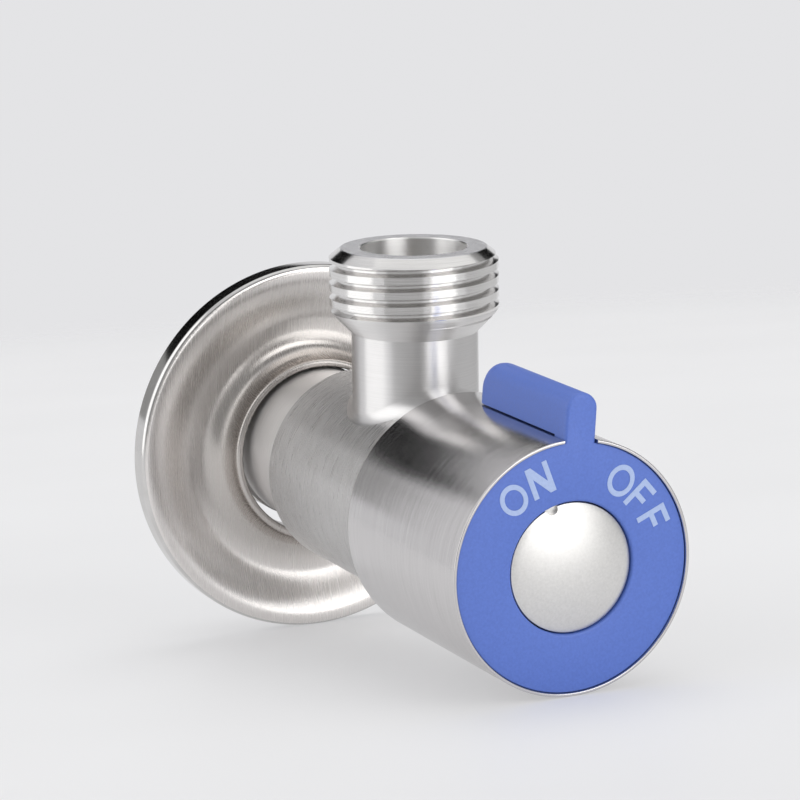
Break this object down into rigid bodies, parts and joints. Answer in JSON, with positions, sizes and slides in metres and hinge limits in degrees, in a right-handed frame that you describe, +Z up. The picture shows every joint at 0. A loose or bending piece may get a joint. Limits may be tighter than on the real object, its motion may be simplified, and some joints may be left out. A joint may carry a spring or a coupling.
{
  "type": "angle valve",
  "caption": "Quarter-turn steel angle valve with a lever handle, ceramic-disc cartridge, threaded inlet and outlet and a loose wall flange.",
  "frame": {"origin": "where the inlet's centre line meets the wall plane, inside the inlet thread", "axes": "+Y along the inlet into the wall, +Z up the outlet's centre line, +X to the right seen from the handle"},
  "size_m": [0.0488, 0.0919, 0.0561],
  "materials": {
    "body_steel": "brushed round the barrel, bright on the thread and the neck",
    "flange_steel": "straight brushed face, polished rim",
    "sleeve_steel": "fine brushing round the sleeve",
    "cap_steel": "satin dome",
    "fixing_steel": "bright rolled",
    "blue_plastic": "fine moulded texture",
    "core_plastic": "moulded",
    "brass": "turned",
    "ceramic": "lapped ceramic",
    "acetal": "turned",
    "seal_rubber": "moulded, greased"
  },
  "bodies": {
    "valve": {"valve_body": "body_steel", "cartridge_housing": "brass", "housing_seal": "seal_rubber", "thrust_washer": "acetal", "fixed_disc": "ceramic", "seat_seal": "seal_rubber"},
    "handle": {"spindle": "brass", "front_seal": "seal_rubber", "rear_seal": "seal_rubber", "stop_washer": "brass", "snap_ring": "fixing_steel", "drive_disc": "ceramic", "handle_core": "core_plastic", "handle_sleeve": "sleeve_steel", "indicator_ring": "blue_plastic", "centre_cap": "cap_steel", "handle_screw": "fixing_steel", "screw_washer": "fixing_steel"},
    "flange": {"wall_flange": "flange_steel"}
  },
  "joints": [
    {"name": "handle_turn", "type": "hinge", "parent": "valve", "child": "handle", "pos_m": [0, -0.05, 0], "axis": [0, 1, 0], "range_deg": [0, 90]},
    {"name": "flange_slide", "type": "slide", "parent": "valve", "child": "flange", "axis": [0, 1, 0], "range_m": [-0.0117, 0]}
  ]
}
